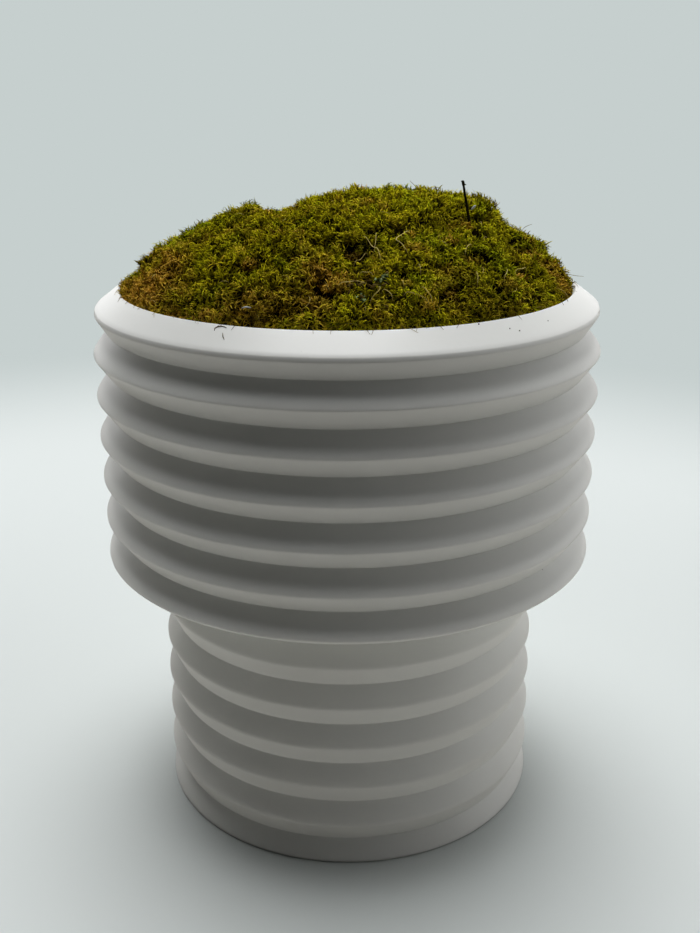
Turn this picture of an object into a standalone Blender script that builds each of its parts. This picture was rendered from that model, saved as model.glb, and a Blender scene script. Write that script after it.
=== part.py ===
"""Moss clump in a ribbed pot: three cushions of moss on a bed of soil, in a white pot of two tiers.

The origin is the middle of the pot's foot, +Z is up and -Y is the front. Dimensions below are in millimetres.
"""
import math

import bmesh
import bpy
from mathutils import Matrix, Vector, noise

MM = 0.001
GAP = 0.3
TURN_STEPS = 60
MERGE = 0.0001

# Pot: every rib has a sharp edge, a band that slopes in below it to a groove, and a face that slopes out from
# the groove to a shoulder and drops from there to the next edge. The edges are evenly spaced down from the place
# of the top one, which the rim's edge takes a little lower and further in.
# It is one piece of ceramic, parted under its step so that each of its two solids is a simple turned one.
UPPER_R = 125.0
UPPER_GROOVE_R = 117.2
UPPER_TOP_EDGE = 260.2
UPPER_PITCH = 20.64
UPPER_BAND = 9.8
UPPER_RIBS = 7
UPPER_LAST_EDGE = UPPER_TOP_EDGE - (UPPER_RIBS - 1) * UPPER_PITCH
LOWER_R = 98.1
LOWER_SPLAY = 1.2
LOWER_GROOVE_R = 92.4
LOWER_PITCH = 21.44
LOWER_BAND = 10.4
LOWER_RIBS = 5
SHOULDER_IN = 0.6
SHOULDER_UP = 1.8
FOOT_R = LOWER_R + LOWER_SPLAY
FOOT_EDGE = 0.8
STEP_LIP = 2.0
STEP_UNDER = UPPER_LAST_EDGE - STEP_LIP
NECK_FILLET = 3.5
RIM_INNER_R = 110.0
RIM_TOP = 269.5
RIM_LIP_R = 1.3
RIM_SHOULDER = (122.8, 261.0)
RIM_EDGE = (123.3, 259.0)
WALL_LOWER_R = 84.0
SHELF_TOP = 146.0
SHELF_SLOPE = 4.0
FLOOR = 10.0

# Soil
SOIL_TOP = 246.0

# Moss: one mound, with humps given as (rise, middle x, middle y, spread x, spread y)
MOSS_R = RIM_INNER_R - 0.5
MOSS_EDGE = 268.0
MOSS_RISE = 43.0
DOME_POWER = 2.2
DOME_ROUND = 0.6
HUMPS = (
    (6.5, 30, 14, 36, 34),
    (5.0, 60, 6, 12, 26),
    (-4.0, -70, 0, 26, 32),
    (-4.0, -28, 24, 14, 26),
    (8.5, 75, 2, 9, 24),
    (4.5, 95, 0, 7, 20),
    (-2.5, 18, 8, 14, 24),
    (-4.5, -97, 0, 11, 26),
)
LUMP_SIZE = 9.0
LUMP_HEIGHT = 4.5

# Valleys between the cushions: from the pocket at the front to the pot's inner edge
POCKET = (3.5, -72.0)
POCKET_DEPTH = 7.0
POCKET_SPREAD = 9.0
VALLEY_WIDTH = 7.0
VALLEYS = {
    "left_back": {
        "through": ((-9.4, -60.7), (-20.7, -47.0), (-31.0, -15.0), (-35.0, 20.0)),
        "end": 122.0,
        "depth": 5.5,
    },
    "front": {"through": ((6.2, -90.0),), "end": -84.5, "depth": 4.0},
    "right_back": {
        "through": ((21.0, -58.7), (34.0, -41.0), (54.0, -33.0), (72.0, -12.0), (81.0, 8.0)),
        "end": 25.0,
        "depth": 4.0,
    },
}
VALLEY_STEPS = 10
ARC_STEPS = 60
OUTLINE_POINTS = 360
CREASE_ANGLE = 50.0
CUSHIONS = {
    "moss_cushion_left": {"middle": (-55, -20), "from": "left_back", "to": "front", "cells": 20},
    "moss_cushion_back": {"middle": (25, 30), "from": "right_back", "to": "left_back", "cells": 20},
    "moss_cushion_right": {"middle": (62, -50), "from": "front", "to": "right_back", "cells": 18},
}

# Twig: its middle line from foot to tip, in a socket where two cushions meet
TWIG_BETWEEN = ("moss_cushion_back", "moss_cushion_right")
TWIG_R = 0.75
TWIG_SOCKET_R = 1.15
TWIG_SIDES = 8
TWIG_LINE = ((59.2, -29.6, 286.5), (56.2, -29.8, 303.0), (54.4, -30.1, 312.0), (52.8, -30.4, 320.3))
TWIG_TAPER = (1.0, 1.0, 0.9, 0.75)

COLOURS = {
    "pot_upper_tier": ("E6E8E6", 0.38),
    "pot_lower_tier": ("E6E8E6", 0.38),
    "soil": ("2E241B", 0.95),
    "moss_cushion_left": ("6B6A17", 0.9),
    "moss_cushion_back": ("7A7A1C", 0.9),
    "moss_cushion_right": ("5D7A1E", 0.9),
    "twig": ("2A231A", 0.8),
}


def clear_scene():
    for obj in list(bpy.data.objects):
        bpy.data.objects.remove(obj)


def collection(name):
    new = bpy.data.collections.new(name)
    bpy.context.scene.collection.children.link(new)
    return new


def linear(code):
    """The linear colour of an sRGB hex code."""
    values = [int(code[i:i + 2], 16) / 255 for i in (0, 2, 4)]
    return [v / 12.92 if v <= 0.04045 else ((v + 0.055) / 1.055) ** 2.4 for v in values] + [1.0]


def material(name):
    code, roughness = COLOURS[name]
    new = bpy.data.materials.new(name)
    new.use_nodes = True
    shader = new.node_tree.nodes["Principled BSDF"]
    shader.inputs["Base Color"].default_value = linear(code)
    shader.inputs["Roughness"].default_value = roughness
    shader.inputs["Metallic"].default_value = 0.0
    return new


def add_object(name, data, group):
    obj = bpy.data.objects.new(name, data)
    group.objects.link(obj)
    if name in COLOURS:
        data.materials.append(material(name))
    return obj


def turned(name, profile, group):
    """A solid of revolution from a profile (r, z) that runs down its outside.

    A profile that starts on the axis ends there too, and any other one is closed into a ring.
    """
    mesh = bpy.data.meshes.new(name)
    points = [(r * MM, 0, z * MM) for r, z in profile]
    edges = [(i, i + 1) for i in range(len(points) - 1)]
    if profile[0][0] > 0:
        edges.append((len(points) - 1, 0))
    mesh.from_pydata(points, edges, [])
    obj = add_object(name, mesh, group)
    screw = obj.modifiers.new("Turn", "SCREW")
    screw.axis = "Z"
    screw.angle = 2 * math.pi
    screw.steps = TURN_STEPS
    screw.render_steps = TURN_STEPS
    screw.use_merge_vertices = True
    screw.merge_threshold = MERGE
    screw.use_smooth_shade = True
    return obj


def rib(edge, groove, next_edge):
    """One rib: its edge, its groove, and the shoulder just above the next edge."""
    return [edge, groove, (next_edge[0] - SHOULDER_IN, next_edge[1] + SHOULDER_UP)]


def upper_profile():
    """The upper tier, a ring: up its inside over a shelf, over the rim, down the ribs and under the step."""
    shelf = [(WALL_LOWER_R, STEP_UNDER), (WALL_LOWER_R, SHELF_TOP - SHELF_SLOPE),
             (RIM_INNER_R - SHELF_SLOPE, SHELF_TOP), (RIM_INNER_R, SHELF_TOP + SHELF_SLOPE)]
    rim = [(RIM_INNER_R, RIM_TOP - RIM_LIP_R), (RIM_INNER_R + RIM_LIP_R, RIM_TOP), RIM_SHOULDER]
    heights = [UPPER_TOP_EDGE - i * UPPER_PITCH for i in range(UPPER_RIBS)]
    edges = [RIM_EDGE] + [(UPPER_R, height) for height in heights[1:]]
    ribs = []
    for edge, height, next_edge in zip(edges, heights, edges[1:]):
        ribs += rib(edge, (UPPER_GROOVE_R, height - UPPER_BAND), next_edge)
    return shelf + rim + ribs + [edges[-1], (UPPER_R - STEP_LIP, STEP_UNDER)]


def lower_edge(i):
    """The edge of the lower tier's rib i, counted from the foot; the tier widens a little on its way down."""
    return (LOWER_R + LOWER_SPLAY * (1 - i / LOWER_RIBS), i * LOWER_PITCH)


def lower_profile():
    """The lower tier, a cup: from its inner floor up the inside, over the top and down the ribs to the foot."""
    top = STEP_UNDER - GAP
    cup = [(0, FLOOR), (WALL_LOWER_R, FLOOR), (WALL_LOWER_R, top), (LOWER_GROOVE_R + NECK_FILLET, top),
           (LOWER_GROOVE_R, top - NECK_FILLET)]
    foot = (FOOT_R, FOOT_EDGE)
    for i in range(LOWER_RIBS + 1, 0, -1):
        edge_r, height = lower_edge(i)
        groove = (LOWER_GROOVE_R + edge_r - LOWER_R, height - LOWER_BAND)
        points = rib((edge_r, height), groove, lower_edge(i - 1) if i > 1 else foot)
        cup += points[1:] if i > LOWER_RIBS else points
    return cup + [foot, (FOOT_R - FOOT_EDGE, 0), (0, 0)]


def soil_profile():
    """The bed of soil, which fills the pot's inside up to the moss."""
    lower_r = WALL_LOWER_R - GAP
    upper_r = RIM_INNER_R - 2 * GAP
    shelf = SHELF_TOP + 2 * GAP
    top = [(0, SOIL_TOP), (upper_r, SOIL_TOP), (upper_r, shelf + SHELF_SLOPE)]
    bottom = [(lower_r, shelf - SHELF_SLOPE), (lower_r, FLOOR + GAP), (0, FLOOR + GAP)]
    return top + [(upper_r - SHELF_SLOPE, shelf)] + bottom


def smooth_line(points, count):
    """A Catmull-Rom curve through the points, with the same number of steps between each pair."""
    ends = [points[0] + (points[0] - points[1])] + points + [points[-1] + (points[-1] - points[-2])]
    line = []
    for i in range(1, len(ends) - 2):
        a, b, c, d = ends[i - 1:i + 3]
        for k in range(count):
            t = k / count
            line.append(0.5 * (2 * b + (c - a) * t + (2 * a - 5 * b + 4 * c - d) * t ** 2
                               + (3 * b - a - 3 * c + d) * t ** 3))
    return line + [points[-1]]


def valley_line(name):
    """A valley's middle line, from the pocket to the rim."""
    valley = VALLEYS[name]
    angle = math.radians(valley["end"])
    end = Vector((math.cos(angle), math.sin(angle))) * MOSS_R
    return smooth_line([Vector(POCKET)] + [Vector(p) for p in valley["through"]] + [end], VALLEY_STEPS)


def line_distance(point, line):
    """How far a point is from a line of short straight pieces."""
    nearest = math.inf
    for a, b in zip(line, line[1:]):
        along = b - a
        t = max(0.0, min(1.0, (point - a).dot(along) / along.length_squared))
        nearest = min(nearest, (point - a - along * t).length)
    return nearest


def moss_height(x, y, lines):
    """The mound's top at a point: a dome with humps and lumps, less the valleys and the pocket."""
    point = Vector((x, y))
    rho = min(point.length / RIM_INNER_R, 1.0)
    dome = (1 - rho ** DOME_POWER) ** DOME_ROUND
    rise = MOSS_RISE + LUMP_HEIGHT * noise.noise(Vector((x, y, 0)) / LUMP_SIZE)
    for height, cx, cy, sx, sy in HUMPS:
        rise += height * math.exp(-((x - cx) / sx) ** 2 - ((y - cy) / sy) ** 2)
    valleys = [VALLEYS[name]["depth"] * math.exp(-(line_distance(point, line) / VALLEY_WIDTH) ** 2)
               for name, line in lines.items()]
    pocket = POCKET_DEPTH * math.exp(-((point - Vector(POCKET)).length / POCKET_SPREAD) ** 2)
    return MOSS_EDGE + dome * (rise - max(valleys) - pocket)


def cushion_outline(spec, lines):
    """A cushion's closed outline in plan: out along one valley, round the rim and back along the next."""
    start = math.radians(VALLEYS[spec["from"]]["end"])
    end = math.radians(VALLEYS[spec["to"]]["end"])
    sweep = (end - start) % (2 * math.pi)
    arc = []
    for k in range(1, ARC_STEPS + 1):
        angle = start + sweep * k / ARC_STEPS
        arc.append(Vector((math.cos(angle), math.sin(angle))) * MOSS_R)
    return lines[spec["from"]] + arc + lines[spec["to"]][::-1][1:-1]


def even_points(outline, count):
    """The outline's points, spaced evenly along its length."""
    closed = outline + [outline[0]]
    lengths = [0.0]
    for a, b in zip(closed, closed[1:]):
        lengths.append(lengths[-1] + (b - a).length)
    points = []
    k = 0
    for i in range(count):
        target = lengths[-1] * i / count
        while lengths[k + 1] < target:
            k += 1
        t = (target - lengths[k]) / max(lengths[k + 1] - lengths[k], 1e-9)
        points.append(closed[k].lerp(closed[k + 1], t))
    return points


def shrink(points, distance):
    """The closed outline, which runs anticlockwise, moved inwards by a distance."""
    moved = []
    for i, point in enumerate(points):
        along = (points[(i + 1) % len(points)] - points[i - 1]).normalized()
        moved.append(point + Vector((-along.y, along.x)) * distance)
    return moved


def cushion(name, spec, lines, group):
    """A grid pulled to the cushion's outline and lifted to the mound, with its sides and bottom closed."""
    bottom_z = SOIL_TOP + GAP
    outline = shrink(even_points(cushion_outline(spec, lines), OUTLINE_POINTS), GAP)
    middle = Vector(spec["middle"])
    first = min(range(OUTLINE_POINTS), key=lambda i: abs((outline[i] - middle).angle_signed(Vector((1, 0)))))
    bm = bmesh.new()
    bmesh.ops.create_grid(bm, x_segments=spec["cells"], y_segments=spec["cells"], size=1.0)
    for vert in bm.verts:
        x, y = vert.co.x, vert.co.y
        disc = Vector((x * math.sqrt(1 - y * y / 2), y * math.sqrt(1 - x * x / 2)))
        edge = outline_at(outline, first + math.atan2(disc.y, disc.x) / (2 * math.pi) * OUTLINE_POINTS)
        place = middle.lerp(edge, min(disc.length, 1.0))
        vert.co = Vector((place.x, place.y, moss_height(place.x, place.y, lines)))
    bottom = bmesh.ops.extrude_face_region(bm, geom=bm.faces[:])
    for item in bottom["geom"]:
        if isinstance(item, bmesh.types.BMVert):
            item.co.z = bottom_z
    flat = [face for face in bm.faces if max(vert.co.z for vert in face.verts) < SOIL_TOP + 2 * GAP]
    bmesh.ops.dissolve_faces(bm, faces=flat)
    bmesh.ops.recalc_face_normals(bm, faces=bm.faces[:])
    bmesh.ops.scale(bm, vec=(MM, MM, MM), verts=bm.verts[:])
    mesh = bpy.data.meshes.new(name)
    bm.to_mesh(mesh)
    bm.free()
    mesh.shade_smooth()
    mesh.set_sharp_from_angle(angle=math.radians(CREASE_ANGLE))
    return add_object(name, mesh, group)


def outline_at(outline, place):
    """The closed outline's point at a place counted in points, which may lie between two of them."""
    i = math.floor(place)
    return outline[i % len(outline)].lerp(outline[(i + 1) % len(outline)], place - i)


def twig(group):
    """A thin dark twig, a little narrower at its tip."""
    curve = bpy.data.curves.new("twig", "CURVE")
    curve.dimensions = "3D"
    curve.bevel_depth = TWIG_R * MM
    curve.bevel_resolution = 2
    curve.use_fill_caps = True
    spline = curve.splines.new("POLY")
    spline.points.add(len(TWIG_LINE) - 1)
    for point, place, taper in zip(spline.points, TWIG_LINE, TWIG_TAPER):
        point.co = (place[0] * MM, place[1] * MM, place[2] * MM, 1)
        point.radius = taper
    return add_object("twig", curve, group)


def twig_socket(group):
    """The cutter for the twig's socket: a straight pin along the twig's buried length."""
    foot = Vector(TWIG_LINE[0])
    along = Vector(TWIG_LINE[1]) - foot
    length = along.length * 2
    bm = bmesh.new()
    r = TWIG_SOCKET_R
    bmesh.ops.create_cone(bm, cap_ends=True, segments=TWIG_SIDES, radius1=r, radius2=r, depth=length)
    turn = along.to_track_quat("Z", "Y").to_matrix().to_4x4()
    middle = foot + along.normalized() * (length / 2 - 1.0)
    bmesh.ops.transform(bm, matrix=Matrix.Scale(MM, 4) @ Matrix.Translation(middle) @ turn, verts=bm.verts[:])
    mesh = bpy.data.meshes.new("twig_socket")
    bm.to_mesh(mesh)
    bm.free()
    cutter = add_object("twig_socket", mesh, group)
    cutter.hide_render = True
    cutter.display_type = "WIRE"
    return cutter


def main():
    clear_scene()
    parts = collection("moss_clump")
    cutters = collection("cutters")
    turned("pot_upper_tier", upper_profile(), parts)
    turned("pot_lower_tier", lower_profile(), parts)
    turned("soil", soil_profile(), parts)
    lines = {name: valley_line(name) for name in VALLEYS}
    cushions = {name: cushion(name, spec, lines, parts) for name, spec in CUSHIONS.items()}
    twig(parts)
    socket = twig_socket(cutters)
    for name in TWIG_BETWEEN:
        cut = cushions[name].modifiers.new("Twig socket", "BOOLEAN")
        cut.operation = "DIFFERENCE"
        cut.object = socket


main()
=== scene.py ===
"""Looks of a moss clump in a ribbed pot: satin glaze, moss leaves in tufts, strands, litter and a twig.

Shapes are worked out in millimetres and put into their meshes in metres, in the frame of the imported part.
"""

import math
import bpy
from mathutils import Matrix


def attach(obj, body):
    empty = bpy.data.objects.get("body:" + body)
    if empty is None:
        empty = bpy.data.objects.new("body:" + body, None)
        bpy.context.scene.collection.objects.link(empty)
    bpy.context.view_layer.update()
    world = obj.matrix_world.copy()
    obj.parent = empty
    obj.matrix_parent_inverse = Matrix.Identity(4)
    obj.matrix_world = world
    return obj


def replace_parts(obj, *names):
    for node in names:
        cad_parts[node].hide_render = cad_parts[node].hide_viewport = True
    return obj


bl_info = {
    "name": "Moss Clump in a Ribbed Pot",
    "version": (1, 0, 0),
    "blender": (4, 5, 0),
    "location": "View3D > Sidebar > Moss Clump",
    "description": "Dresses the packed pot with glaze, moss, strands, litter and a twig",
    "category": "Object",
}

import bpy
import numpy as np
from bpy.props import FloatProperty, FloatVectorProperty, IntProperty, PointerProperty
from mathutils import Euler, Matrix

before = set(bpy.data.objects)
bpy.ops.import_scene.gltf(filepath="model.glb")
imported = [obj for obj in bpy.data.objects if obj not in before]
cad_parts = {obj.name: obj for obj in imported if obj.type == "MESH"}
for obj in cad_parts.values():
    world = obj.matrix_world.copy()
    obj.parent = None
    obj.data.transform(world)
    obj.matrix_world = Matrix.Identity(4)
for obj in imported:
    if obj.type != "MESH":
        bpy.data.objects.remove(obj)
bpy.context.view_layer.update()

MM = 0.001
MM_PER_M = 1000
BODY = "root"

# Pot, in mm: the same values as the solid has
UPPER_R = 125.0
UPPER_LIP_R = 118.0
UPPER_TOP_EDGE = 260.2
UPPER_PITCH = 20.64
UPPER_BAND = 9.6
UPPER_RIBS = 7
UPPER_LAST_EDGE = UPPER_TOP_EDGE - (UPPER_RIBS - 1) * UPPER_PITCH
LOWER_R = 98.1
LOWER_SPLAY = 1.2
LOWER_LIP_R = 93.6
LOWER_PITCH = 21.44
LOWER_BAND = 10.2
LOWER_RIBS = 5
LIP_DEPTH = 1.6
LIP_SLOPE = 0.3
EDGE_TURN = 1.8
FOOT_R = LOWER_R + LOWER_SPLAY
FOOT_EDGE = 0.8
STEP_LIP = 2.0
STEP_UNDER = UPPER_LAST_EDGE - STEP_LIP
NECK_FILLET = 3.5
RIM_INNER_R = 110.0
RIM_TOP = 269.5
RIM_LIP_R = 1.3
RIM_SHOULDER = (122.8, 261.0)
RIM_EDGE = (123.3, 259.0)
WALL_LOWER_R = 84.0
SHELF_TOP = 146.0
SHELF_SLOPE = 4.0
FLOOR = 10.0
SOIL_TOP = 246.0
FLARE_POINTS = 9
PROFILE_STEP = 0.15
PROFILE_POINTS = 380
PROFILE_TURN_WEIGHT = 10.0

# Moss mound, in mm: the same values as the solid has, without its lumps
MOSS_R = RIM_INNER_R - 0.5
MOSS_EDGE = 268.0
MOSS_RISE = 43.0
DOME_POWER = 2.2
DOME_ROUND = 0.6
HUMPS = (
    (6.5, 30, 14, 36, 34),
    (5.0, 60, 6, 12, 26),
    (-4.0, -70, 0, 26, 32),
    (-4.0, -28, 24, 14, 26),
    (8.5, 75, 2, 9, 24),
    (4.5, 95, 0, 7, 20),
    (-2.5, 18, 8, 14, 24),
    (-4.5, -97, 0, 11, 26),
)
POCKET = (3.5, -72.0)
POCKET_DEPTH = 7.0
POCKET_SPREAD = 9.0
VALLEY_WIDTH = 7.0
VALLEYS = {
    "left_back": {
        "through": ((-9.4, -60.7), (-20.7, -47.0), (-31.0, -15.0), (-35.0, 20.0)),
        "end": 122.0,
        "depth": 5.5,
    },
    "front": {"through": ((6.2, -90.0),), "end": -84.5, "depth": 4.0},
    "right_back": {
        "through": ((21.0, -58.7), (34.0, -41.0), (54.0, -33.0), (72.0, -12.0), (81.0, 8.0)),
        "end": 25.0,
        "depth": 4.0,
    },
}
CUSHIONS = {
    "left": {"middle": (-55, -20), "from": "left_back", "to": "front"},
    "back": {"middle": (25, 30), "from": "right_back", "to": "left_back"},
    "right": {"middle": (62, -50), "from": "front", "to": "right_back"},
}
VALLEY_STEPS = 10
ARC_STEPS = 60
SLOPE_STEP = 0.5
BED_SHARE = 0.997
# The bed keeps nearly the roots' dark colour, a little lighter on the tops of the cores: painted shade between
# tufts
BED_TIP = 0.06
BED_SKIRT = (262.0, SOIL_TOP + 0.3)

# Tufts: sizes as shares of their spacing, heights in mm
TUFT_RADIUS = 0.74
TUFT_SIZES = (0.8, 1.2)
TUFT_JITTER = 0.3
TUFT_PACKING = 0.92
TUFT_SINK = 1.7
SPIRAL_STEPS = 800
SPIRAL_MARGIN = 0.5
BLOCK_POINTS = 2000
TUFT_LIFTS = (-1.2, 0.8)
RAISED_SHARE = 0.25
RAISED_HEIGHT = 1.5
LEAN_UP = (0, 0, 0.25)
LEAN_SPREAD = 0.12
RIM_TUFTS = 124
RIM_TUFT_INSET = 1
RIM_TUFT_DROP = 1.5
RIM_TUFT_LIFTS = (-0.8, 0.8)
RIM_GAP = -2.2
RIM_SPILL = 1.9
RIM_LEAN = 0.5
RIM_REACH = 0.8
# Middles of tufts where the steep edge would be bare, in mm
EXTRA_TUFTS = ((24.3, -99.0, 275.8), (29.6, -97.8, 275.8))
# Chance in lift, dryness, freshness and shade: ripples as (strength, size in mm), and then the mean and
# spread of what each tuft adds
LIFT_RIPPLES = (2.0, 11)
DRY_RIPPLES = (0.22, 16)
FRESH_RIPPLES = (0.3, 14)
SHADE_RIPPLES = (0.24, 9)
DRY_CHANCE = (0, 0.12)
FRESH_CHANCE = (0.1, 0.18)
SHADE_CHANCE = (1.0, 0.15)
SHADE_LIMITS = (0.4, 1.5)
ODD_SHARE = 0.07
ODD_DRYNESS = (0.3, 0.8)
RIPPLE_WAVES = 9
RIPPLE_PITCHES = (1.4, 2.6)
RIPPLE_GAIN = 2.2

# Where heads of moss stand up or sink, as (height, middle x, middle y, spread x, spread y) in mm
LIFTS = (
    (3.0, 59, -38, 7, 5),
    (-3.0, 80, -52, 7, 5),
    (-6.5, 5, -66, 7, 7),
    (4.5, -46, 46, 5, 20),
    (4.0, -41.5, 73, 3, 8),
    (-2.4, -20, 42, 7, 8),
    (-2.0, 0, 24, 5, 30),
    (2.5, 65.5, 10, 4, 6),
    (-4.5, -36, 46, 7, 30),
    (3.4, 67, -8, 7, 14),
    (2.5, 27, -99, 6, 5),
    (-5.5, 76, -12, 5, 20),
    (3.0, 86, -15, 4, 14),
    (-4.5, 95.5, -20, 5, 18),
    (-4.5, -104, -10, 5, 18),
    (-6.0, -105.5, 9, 3.5, 10),
    (4.0, -97, 8, 3.5, 8),
    (-4.5, -99.5, -22, 3, 8),
    (3.0, -94, -21, 3, 8),
    (-3.0, -84, -10, 5, 20),
)
# Where the moss is lighter or darker, dry or fresh, in the same form with a strength for the height
TONES_AND_PAINTED_LIGHT = (
    # Painted shade in the pocket
    (-0.75, 5, -66, 9, 9),
    # Painted light on the tufts round a dark gap at the front
    (0.4, 29, -98, 8, 6),
    # Painted shade round the twig's foot
    (-0.45, 60, -27, 9, 6),
    # Painted shade in the dip at (80, -52)
    (-0.35, 80, -52, 8, 6),
    # Painted highlight on the back ridge, standing in for light through the leaves
    (0.85, 8, 8, 50, 24),
    # The rest make whole regions lighter or darker
    (0.32, -96, -50, 16, 24),
    (-0.44, -62, -22, 24, 18),
    (-0.12, -40, -60, 26, 20),
    (-0.6, 74, -88, 24, 12),
    (-0.22, 96, -44, 13, 16),
    (-0.2, -42, -100, 28, 10),
)
DRY_PATCHES = (
    (1.2, -90, -58, 18, 26),
    (1.0, -106, -32, 9, 20),
    (0.65, -42, -99, 26, 9),
    (0.55, -8, -95, 14, 14),
    (0.35, -14, -66, 10, 8),
    (0.8, 103, -36, 8, 20),
    (0.6, 46, -97, 6, 6),
    (0.5, 74, -84, 18, 8),
)
FRESH_PATCHES = (
    (0.7, -82, 6, 20, 22),
    (0.6, 50, -62, 32, 14),
    (0.6, 88, -20, 14, 22),
    (0.4, 30, 20, 40, 30),
)

# Leaves: places along one and its width there, ranges as shares of the tuft's radius or of the width, and
# angles in degrees
LEAF_PLACES = (0.0, 0.36, 0.7, 1.0)
LEAF_SHARES = (0.6, 1.0, 0.8, 0.0)
LEAF_POINTS = 7
LEAF_TRIANGLES = 5
PIECE_TRIANGLES = 195000
LEAF_FAN = 82
LEAF_STARTS = (0.4, 0.72)
LEAF_BENDS = (80, 230)
LEAF_LENGTHS = (0.6, 1.2)
LEAF_WIDTHS = (0.65, 1.2)
LEAF_SWEEP = 0.6
LEAF_CURL = 0.55
LEAF_OUTWARD = 0.25
LEAF_TWIST = 0.25
SIDE_GUIDE = (0.3, 0.9, 0.1)
# Leaves start at the near-black root colour: the brown of the lower leaves, with painted shade deep in a tuft
ROOT_TIP = 0.02
TIP_POWER = 0.8
# Leaves leaning out to their tuft's side are darker, down to this share: painted shade on the sides
PAINTED_SIDE_SHADE = 0.72
LEAF_SHADES = (1.0, 0.5)
LEAF_SHADE_LIMITS = (0.12, 1.7)
LEAF_BRIGHTEST = 1.42
LEAF_DRY_SPREAD = 0.16
LEAF_FRESH_SPREAD = 0.2
# What lies over the rim starts this far inside it, falls this far there and clears it by this much, in mm
RIM_MARGIN = 0.4
RIM_FALL = 3.0
RIM_CLEARANCE = 0.1

# Twig, in mm: the same line as the solid has, and its thickness along it
TWIG_LINE = ((59.2, -29.6, 286.5), (56.2, -29.8, 303.0), (54.4, -30.1, 312.0), (52.8, -30.4, 320.3))
TWIG_SHARES = ((0.0, 1.0), (0.45, 1.1), (0.75, 0.95), (0.9, 0.9), (0.95, 1.2), (0.985, 1.05), (1.0, 0.5))
TWIG_ROUGHNESS = (0.9, 1.1)
TWIG_STUBS = (
    ((53.1, -30.3, 318.2), (53.8, -30.8, 318.5), (54.3, -31.1, 318.4)),
    ((52.9, -30.4, 319.2), (52.4, -30.7, 319.8), (52.0, -30.8, 320.1)),
)
TWIG_POINTS = 60
TWIG_SIDES = 12
STUB_POINTS = 8
STUB_SIDES = 8
STUB_ENDS = (0.6, 0.3)
DARK_TONE = 0.3

# Dry grass strands that lie on the moss, as places (x, y) in mm
STRANDS = (
    ((12.8, -56.2), (12.6, -62.0), (11.7, -67.5)),
    ((27.9, -50.8), (25.0, -60.0), (21.0, -69.3), (22.6, -73.0), (25.8, -77.4)),
    ((7.1, -60.9), (10.0, -66.0), (12.4, -73.0), (14.2, -83.0)),
    ((9.1, -68.9), (6.0, -73.0), (3.0, -78.4)),
    ((-4.0, -95.6), (0.5, -95.0), (4.0, -93.6), (9.1, -93.1)),
    ((54.8, -58.2), (52.6, -62.0), (50.9, -66.9)),
    ((29.6, -84.4), (30.3, -86.5), (30.6, -88.5)),
    ((22.6, -93.1), (23.3, -95.2)),
    ((68.8, -71.0), (68.3, -74.0), (66.8, -76.9)),
    ((73.7, -60.2), (77.5, -56.5), (80.3, -51.6)),
    ((30.0, -95.6), (32.6, -97.4), (34.9, -99.1)),
    ((22.9, -100.8), (28.0, -101.0), (33.5, -101.0)),
    ((5.0, -89.3), (7.9, -90.2), (10.8, -90.3)),
    ((12.4, -99.2), (13.4, -100.8), (12.1, -102.3), (9.2, -104.0)),
    ((14.0, -98.6), (16.6, -99.8), (18.6, -101.2)),
    ((54.5, -76.7), (55.2, -79.8), (54.9, -82.8)),
)
STRAND_POINTS = 14
STRAND_CLEARANCE = -0.6
STRAND_DIP = 2.4
STRAND_THICKNESS = (0.85, 1.15)
STRAND_ENDS = 0.5
STRAND_SIDES = 6
SHORT_POINTS = 9
SHORT_LENGTHS = (3.5, 8.0)
SHORT_SINK = 0.7
SHORT_BOW = 0.7
FIBRE_START = 1.5
FIBRE_REACH = (1.5, 5.0)
FIBRE_SWING = 2.5
FIBRE_ARCH = (0.2, 1.2)
HAIR_POINTS = 10
# Hairs that stand out from the moss, as points in mm, from root to end
HAIRS = (
    ((34.2, 7.0, 312.5), (33.5, 8.0, 314.3), (32.0, 8.4, 315.8), (30.9, 8.6, 316.8)),
    ((85.0, -1.0, 293.0), (86.4, 0.0, 294.9), (88.3, 0.0, 296.0), (90.3, 0.0, 296.7)),
    ((106.0, -4.0, 272.9), (109.0, -4.0, 272.8), (112.5, -4.2, 272.2), (116.2, -4.5, 271.9)),
)
# Thickness of long and short strands, hairs and fibres, with the range of their tones
STRAND_KINDS = ((1.0, 0.75, 1.0), (0.8, 0.4, 1.0), (0.6, 0.1, 0.5), (0.6, 0.05, 0.5))

# Litter: grey-brown bits of bark about one middle, pale flakes, and crumbs and curls on the rim, in mm
LITTER_MIDDLE = (7.5, -97.5)
LITTER_SPREAD = (4.6, 3.0)
LITTER_MARGIN = 3
BIT_HALVES = (0.75, 2.0)
BIT_RADII = (0.25, 0.55)
BIT_TONES = (0.35, 0.95)
BIT_POINTS = 5
BIT_ENDS = 0.4
BIT_SIDES = 7
BIT_HEIGHT = 0.3
BIT_ARCH = 0.4
FLAKES = (
    ((58.5, -16.5, 305.4), (59.6, -16.3, 306.6), (60.6, -16.2, 307.7)),
    ((-42.9, -99.4, 276.4), (-40.9, -100.2, 276.9), (-39.0, -100.4, 276.6)),
)
FLAKE_RADII = (0.5, 0.3)
FLAKE_POINTS = 6
FLAKE_SIDES = 8
SPRIGS = ((12.6, -97.4), (5.4, -100.6), (15.2, -95.0))
SPRIG_R = 2.4
SPRIG_LEAVES = 12
SPRIG_LEAF_WIDTH = 1.1
RIM_CURLS = (
    ((-54.3, -100.9), (-54.2, -99.6), (-52.4, -99.5), (-50.6, -100.3), (-49.3, -101.4)),
    ((-50.7, -103.3), (-50.5, -105.0), (-49.8, -106.7)),
)
CURL_RADIUS = 0.2
CURL_TONE = 0.62
RIM_CRUMBS = ((86.3, -78.1), (54.4, -98.2), (71.6, -93.2), (67.7, -94.1), (-98.4, -50.8))
CRUMB_RADII = (0.2, 0.35)
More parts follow.
